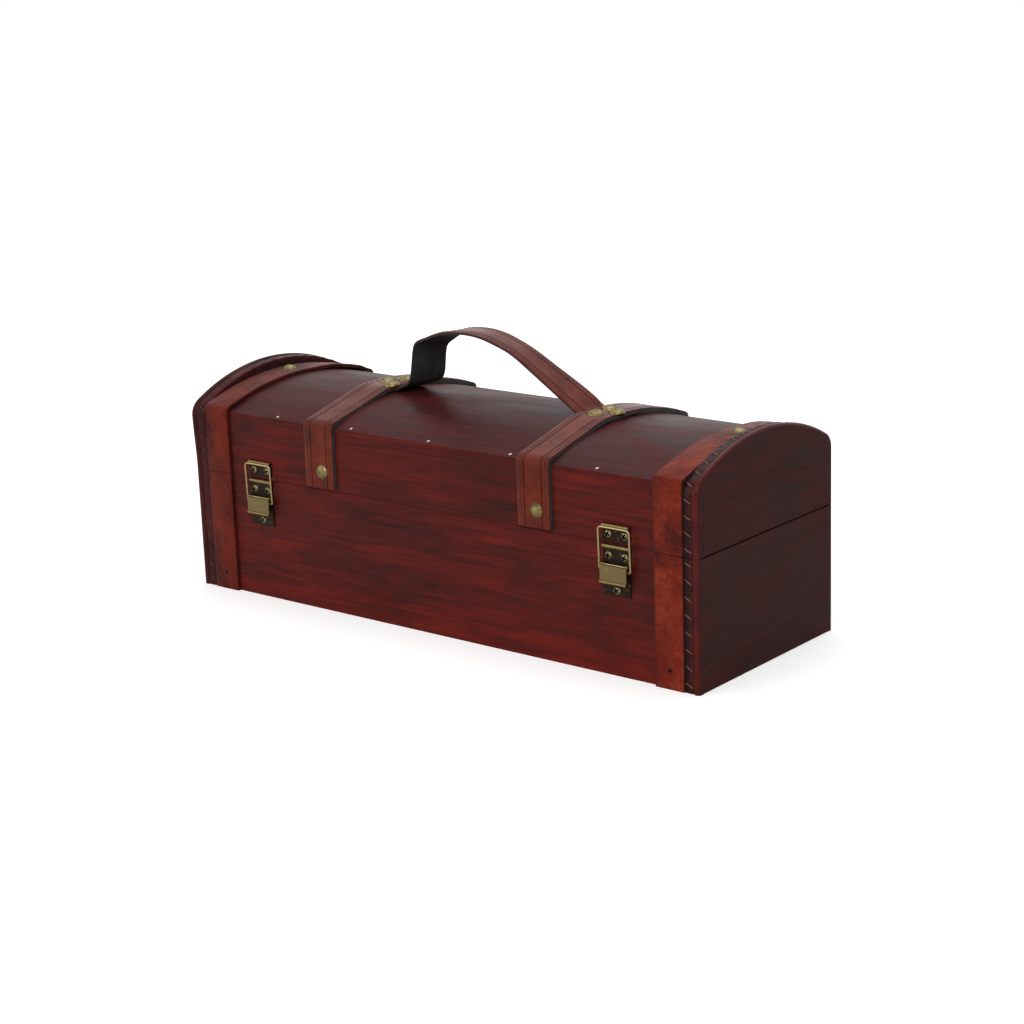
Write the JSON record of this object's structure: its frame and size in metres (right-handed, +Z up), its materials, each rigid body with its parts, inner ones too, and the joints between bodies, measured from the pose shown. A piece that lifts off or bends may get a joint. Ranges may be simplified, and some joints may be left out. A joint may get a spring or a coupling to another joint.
{
  "type": "treasure chest box",
  "caption": "Dark red-brown wooden chest with a shallow domed lid, leather corner bands and straps, a leather carry handle and draw latches on the front",
  "frame": {"origin": "middle of the underside, where the chest stands", "axes": "+X along the long side to the right of someone who faces the latches, -Y out of the front, +Z up"},
  "size_m": [0.36, 0.1335, 0.1611],
  "materials": {
    "stained_wood": "dark red-brown stain under a thin satin lacquer",
    "inner_wood": "thin stained board, matt",
    "band_leather": "smooth orange-red leather strip",
    "edging_leather": "dark folded leather edging with slanted lacing",
    "strap_leather": "tan-brown leather with double stitching",
    "black_backing": "black backing",
    "antique_brass": "antiqued brass, dark in the recesses",
    "bright_brass": "polished brass",
    "dark_steel": "dark nail heads"
  },
  "bodies": {
    "base": {"base_front_panel": "stained_wood", "base_back_panel": "stained_wood", "base_left_end": "stained_wood", "base_right_end": "stained_wood", "base_bottom_panel": "inner_wood", "base_front_left_band": "band_leather", "base_front_left_edging": "edging_leather", "base_front_right_band": "band_leather", "base_front_right_edging": "edging_leather", "base_back_left_band": "band_leather", "base_back_left_edging": "edging_leather", "base_back_right_band": "band_leather", "base_back_right_edging": "edging_leather", "base_band_tacks": "dark_steel", "base_brads": "dark_steel", "hinge_base_screws": "antique_brass", "latch_plate_screws": "antique_brass", "left_latch_plate": "antique_brass", "left_lever_pin": "antique_brass", "left_hinge_base_leaf": "antique_brass", "left_hinge_pin": "antique_brass", "right_latch_plate": "antique_brass", "right_lever_pin": "antique_brass", "right_hinge_base_leaf": "antique_brass", "right_hinge_pin": "antique_brass"},
    "lid": {"lid_front_panel": "stained_wood", "lid_back_panel": "stained_wood", "lid_top_skin": "stained_wood", "lid_left_end": "stained_wood", "lid_right_end": "stained_wood", "lid_left_band": "band_leather", "lid_left_edging": "edging_leather", "left_strap": "strap_leather", "left_strap_backing": "black_backing", "left_keeper": "antique_brass", "left_hinge_lid_leaf": "antique_brass", "lid_right_band": "band_leather", "lid_right_edging": "edging_leather", "right_strap": "strap_leather", "right_strap_backing": "black_backing", "right_keeper": "antique_brass", "right_hinge_lid_leaf": "antique_brass", "carry_handle": "strap_leather", "handle_backing": "black_backing", "handle_studs": "antique_brass", "band_nails": "antique_brass", "strap_studs": "bright_brass", "lid_band_tacks": "dark_steel", "lid_brads": "dark_steel", "eave_pins": "bright_brass", "keeper_screws": "antique_brass", "hinge_lid_screws": "antique_brass"},
    "left_lever": {"left_lever": "antique_brass"},
    "right_lever": {"right_lever": "antique_brass"},
    "left_bail": {"left_bail": "antique_brass"},
    "right_bail": {"right_bail": "antique_brass"}
  },
  "joints": [
    {"name": "lid_hinge", "type": "hinge", "parent": "base", "child": "lid", "pos_m": [0, 0.0642, 0.072], "axis": [-1, 0, 0], "range_deg": [0, 105]},
    {"name": "left_lever_pivot", "type": "hinge", "parent": "base", "child": "left_lever", "pos_m": [-0.1285, -0.0644, 0.061], "axis": [-1, 0, 0], "range_deg": [0, 125]},
    {"name": "left_bail_pivot", "type": "hinge", "parent": "left_lever", "child": "left_bail", "pos_m": [-0.1285, -0.0644, 0.0583], "axis": [1, 0, 0], "range_deg": [0, 150]},
    {"name": "right_lever_pivot", "type": "hinge", "parent": "base", "child": "right_lever", "pos_m": [0.1285, -0.0644, 0.061], "axis": [-1, 0, 0], "range_deg": [0, 125]},
    {"name": "right_bail_pivot", "type": "hinge", "parent": "right_lever", "child": "right_bail", "pos_m": [0.1285, -0.0644, 0.0583], "axis": [1, 0, 0], "range_deg": [0, 150]}
  ],
  "couplings": [
    {"joint": "left_bail_pivot", "follows": "left_lever_pivot", "ratio": 1.2},
    {"joint": "right_bail_pivot", "follows": "right_lever_pivot", "ratio": 1.2}
  ]
}
